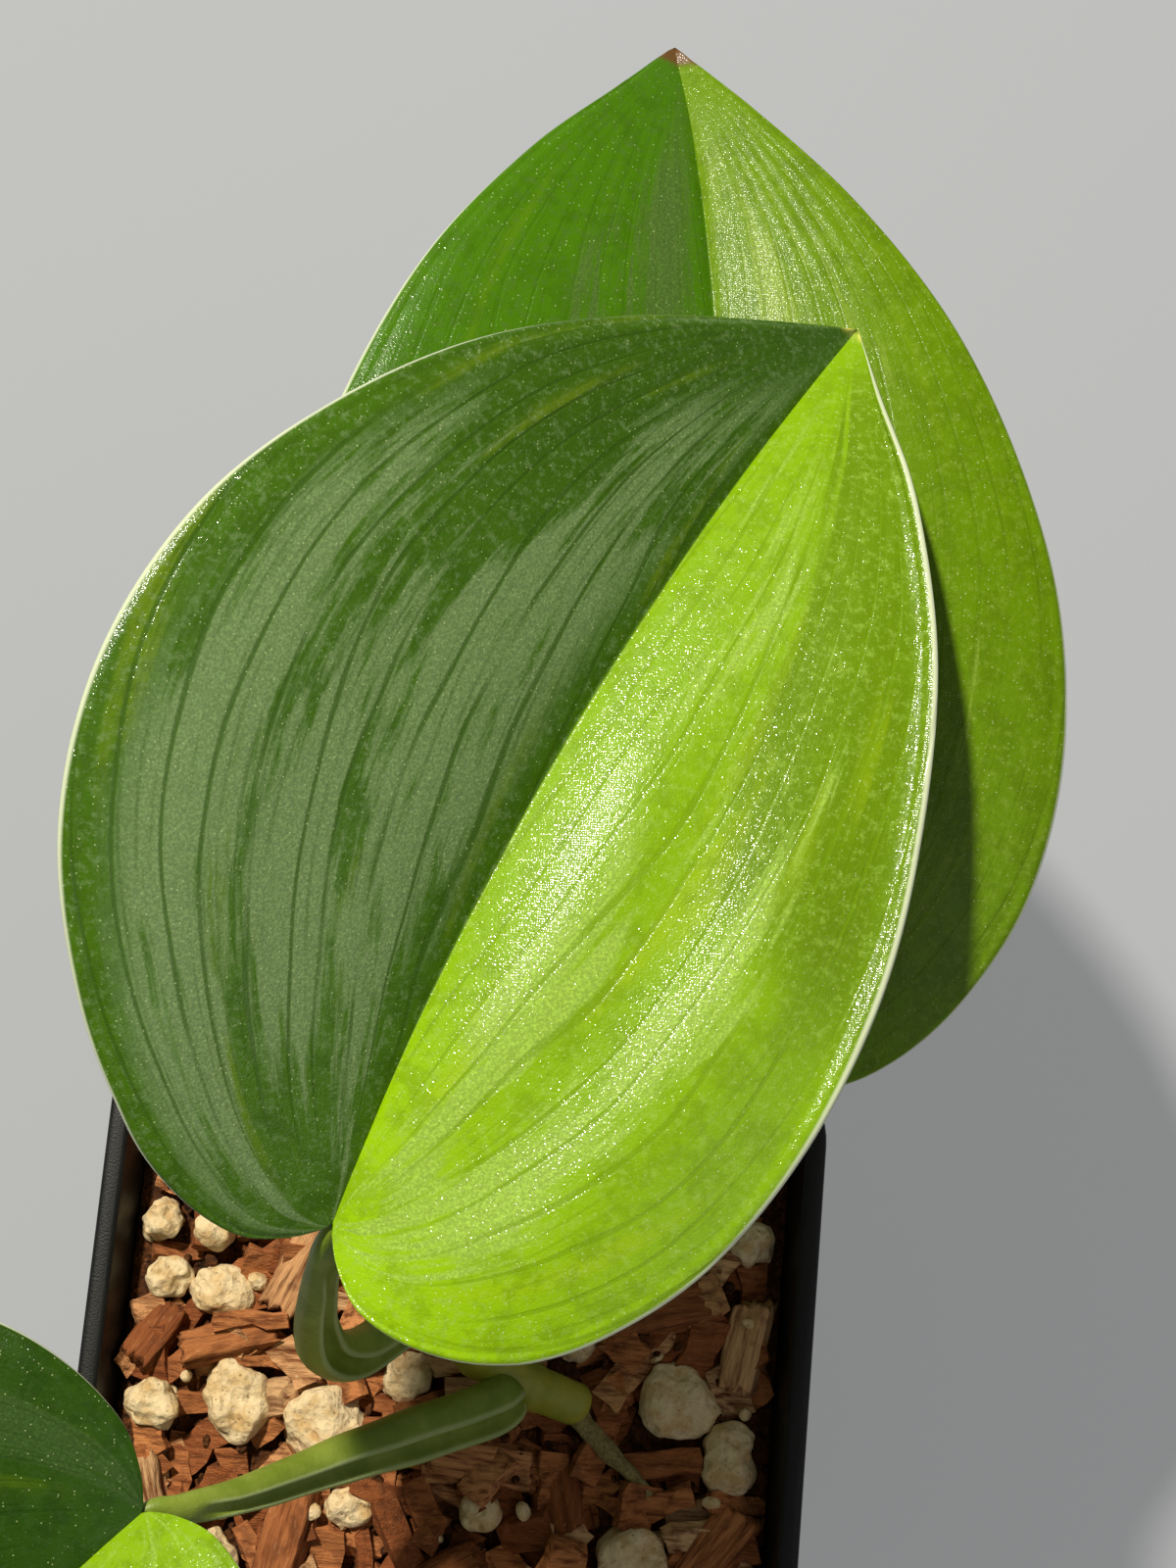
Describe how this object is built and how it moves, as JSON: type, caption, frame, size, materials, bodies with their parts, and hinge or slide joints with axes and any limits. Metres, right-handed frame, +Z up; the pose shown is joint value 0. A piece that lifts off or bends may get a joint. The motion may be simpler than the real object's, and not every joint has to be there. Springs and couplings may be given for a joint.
{
  "type": "potted rubicon scindapsus",
  "caption": "Young aroid house plant with broad folded heart-shaped leaves on stalks, rooted in bark and pumice in a black square nursery pot that stands free.",
  "frame": {"origin": "middle of the pot's underside, in the plane that it stands on", "axes": "+Z up out of the pot; +X and +Y along the pot's sides, with the two larger leaves reaching towards +Y and the third towards -X and -Y"},
  "size_m": [0.1137, 0.1732, 0.1265],
  "materials": {
    "pot_plastic": "black moulded plastic, fine matt grain, slightly shiny on the rim",
    "mix_fines": "crumbled dark bark and grit, dull",
    "bark": "split orange-brown bark, fibrous and dull",
    "pumice": "cream porous stone, dull",
    "leaf": "satin leaf skin with a fine sparkling grain and pale stripes",
    "stalk": "smooth grey-green skin, satin",
    "stem": "smooth yellow-green skin, satin",
    "root": "tan corky root, dull"
  },
  "bodies": {
    "root": {"pot": "pot_plastic", "stem": "stem", "aerial_root": "root", "anchor_root": "root", "leaf_blade_front": "leaf", "leaf_blade_back": "leaf", "leaf_blade_left": "leaf", "leaf_stalk_front": "stalk", "leaf_stalk_back": "stalk", "leaf_stalk_left": "stalk", "potting_mix": "mix_fines", "bark_chip_01": "bark", "bark_chip_02": "bark", "bark_chip_03": "bark", "bark_chip_04": "bark", "bark_chip_05": "bark", "bark_chip_06": "bark", "bark_chip_07": "bark", "bark_chip_08": "bark", "bark_chip_09": "bark", "bark_chip_10": "bark", "bark_chip_11": "bark", "bark_chip_12": "bark", "bark_chip_13": "bark", "bark_chip_14": "bark", "bark_chip_15": "bark", "bark_chip_16": "bark", "bark_chip_17": "bark", "bark_chip_18": "bark", "bark_chip_19": "bark", "bark_chip_20": "bark", "bark_chip_21": "bark", "bark_chip_22": "bark", "bark_chip_23": "bark", "bark_chip_24": "bark", "pumice_01": "pumice", "pumice_02": "pumice", "pumice_03": "pumice", "pumice_04": "pumice", "pumice_05": "pumice", "pumice_06": "pumice", "pumice_07": "pumice", "pumice_08": "pumice", "pumice_09": "pumice", "pumice_10": "pumice", "pumice_11": "pumice", "pumice_12": "pumice", "pumice_13": "pumice", "pumice_14": "pumice", "pumice_15": "pumice", "pumice_16": "pumice"}
  },
  "joints": []
}
